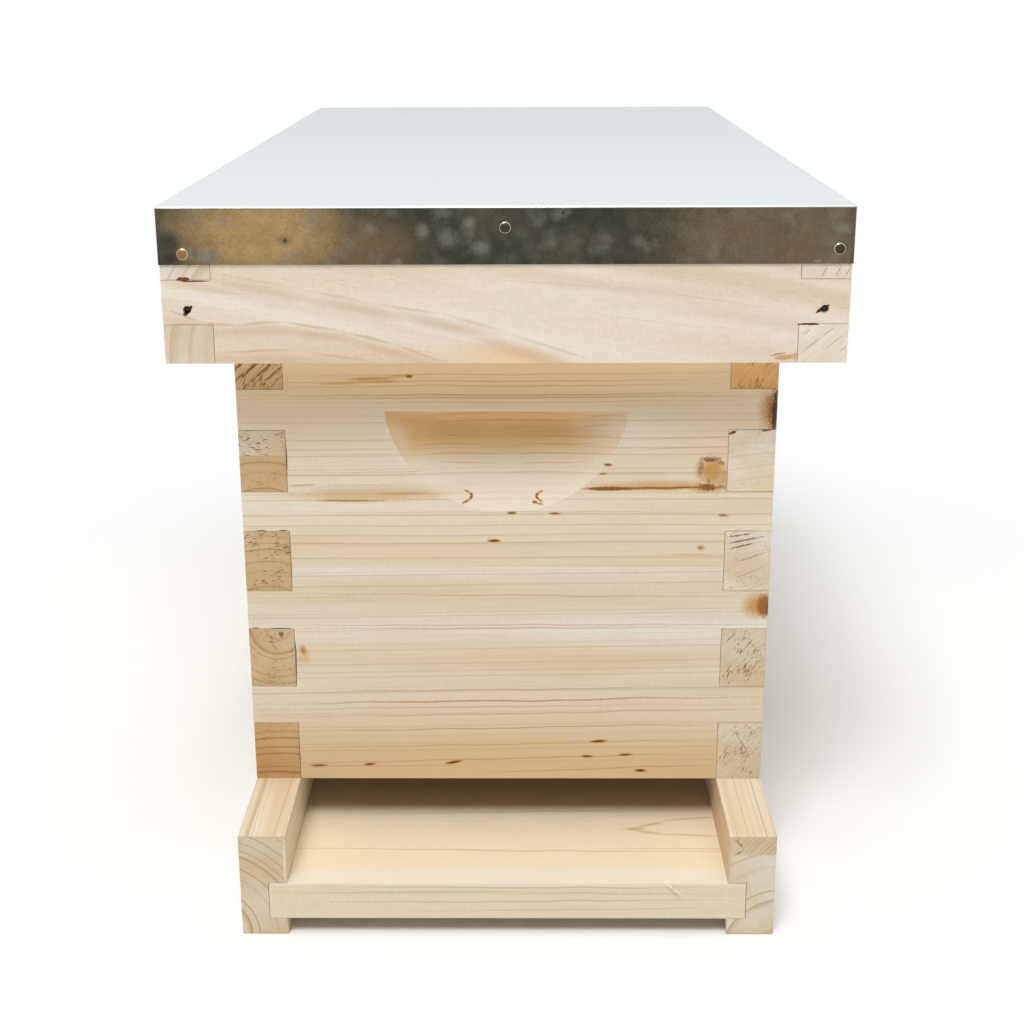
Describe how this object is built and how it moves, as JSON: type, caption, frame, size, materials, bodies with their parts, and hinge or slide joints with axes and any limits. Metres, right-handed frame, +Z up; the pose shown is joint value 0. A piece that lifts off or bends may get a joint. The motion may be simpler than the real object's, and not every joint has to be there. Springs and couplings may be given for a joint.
{
  "type": "wooden beehive",
  "caption": "Small wooden beehive: a finger-jointed box on a bottom board with a landing, hanging frames, an inner cover and a metal-clad roof that lift off in turn.",
  "frame": {"origin": "on the ground under the middle of the hive's overall box", "axes": "+Z up, the entrance faces -Y, +X to the right of someone who faces the entrance"},
  "size_m": [0.2796, 0.5842, 0.3086],
  "materials": {
    "box_fir": "planed fir, unfinished",
    "base_fir": "planed fir, unfinished",
    "roof_pine": "planed pine, unfinished",
    "frame_pine": "planed pine, unfinished",
    "plywood": "sanded plywood",
    "galvanised_sheet": "galvanised, with zinc spangle",
    "nail_steel": "zinc-plated wire nail",
    "foundation": "moulded cell pattern with a beeswax coat"
  },
  "bodies": {
    "bottom_board": {"left_rail": "base_fir", "right_rail": "base_fir", "right_rail_cap": "base_fir", "back_rail": "base_fir", "floor_plank_1": "base_fir", "floor_plank_2": "base_fir", "floor_plank_3": "base_fir", "floor_plank_4": "base_fir", "floor_plank_5": "base_fir", "bottom_board_nails": "nail_steel"},
    "brood_box": {"box_front_board": "box_fir", "box_back_board": "box_fir", "box_left_board": "box_fir", "box_right_board": "box_fir"},
    "inner_cover": {"inner_cover_panel": "plywood", "inner_cover_front_strip": "frame_pine", "inner_cover_back_strip": "frame_pine", "inner_cover_left_strip": "frame_pine", "inner_cover_right_strip": "frame_pine"},
    "roof": {"roof_front_rim": "roof_pine", "roof_back_rim": "roof_pine", "roof_left_rim": "roof_pine", "roof_right_rim": "roof_pine", "roof_deck": "plywood", "roof_sheet": "galvanised_sheet", "roof_sheet_nails": "nail_steel", "roof_rim_nails": "nail_steel"},
    "frame_1": {"frame_1_top_bar": "frame_pine", "frame_1_front_end_bar": "frame_pine", "frame_1_back_end_bar": "frame_pine", "frame_1_bottom_bar": "frame_pine", "frame_1_foundation": "foundation"},
    "frame_2": {"frame_2_top_bar": "frame_pine", "frame_2_front_end_bar": "frame_pine", "frame_2_back_end_bar": "frame_pine", "frame_2_bottom_bar": "frame_pine", "frame_2_foundation": "foundation"},
    "frame_3": {"frame_3_top_bar": "frame_pine", "frame_3_front_end_bar": "frame_pine", "frame_3_back_end_bar": "frame_pine", "frame_3_bottom_bar": "frame_pine", "frame_3_foundation": "foundation"},
    "frame_4": {"frame_4_top_bar": "frame_pine", "frame_4_front_end_bar": "frame_pine", "frame_4_back_end_bar": "frame_pine", "frame_4_bottom_bar": "frame_pine", "frame_4_foundation": "foundation"},
    "frame_5": {"frame_5_top_bar": "frame_pine", "frame_5_front_end_bar": "frame_pine", "frame_5_back_end_bar": "frame_pine", "frame_5_bottom_bar": "frame_pine", "frame_5_foundation": "foundation"}
  },
  "joints": [
    {"name": "box_lift", "type": "slide", "parent": "bottom_board", "child": "brood_box", "axis": [0, 0, 1], "range_m": [0, 0.12]},
    {"name": "inner_cover_lift", "type": "slide", "parent": "brood_box", "child": "inner_cover", "axis": [0, 0, 1], "range_m": [0, 0.33]},
    {"name": "roof_lift", "type": "slide", "parent": "inner_cover", "child": "roof", "axis": [0, 0, 1], "range_m": [0, 0.15]},
    {"name": "frame_1_lift", "type": "slide", "parent": "brood_box", "child": "frame_1", "axis": [0, 0, 1], "range_m": [0, 0.264]},
    {"name": "frame_2_lift", "type": "slide", "parent": "brood_box", "child": "frame_2", "axis": [0, 0, 1], "range_m": [0, 0.264]},
    {"name": "frame_3_lift", "type": "slide", "parent": "brood_box", "child": "frame_3", "axis": [0, 0, 1], "range_m": [0, 0.264]},
    {"name": "frame_4_lift", "type": "slide", "parent": "brood_box", "child": "frame_4", "axis": [0, 0, 1], "range_m": [0, 0.264]},
    {"name": "frame_5_lift", "type": "slide", "parent": "brood_box", "child": "frame_5", "axis": [0, 0, 1], "range_m": [0, 0.264]}
  ],
  "couplings": [
    {"joint": "frame_1_lift", "follows": "inner_cover_lift", "ratio": 0.8},
    {"joint": "frame_2_lift", "follows": "inner_cover_lift", "ratio": 0.8},
    {"joint": "frame_3_lift", "follows": "inner_cover_lift", "ratio": 0.8},
    {"joint": "frame_4_lift", "follows": "inner_cover_lift", "ratio": 0.8},
    {"joint": "frame_5_lift", "follows": "inner_cover_lift", "ratio": 0.8}
  ]
}
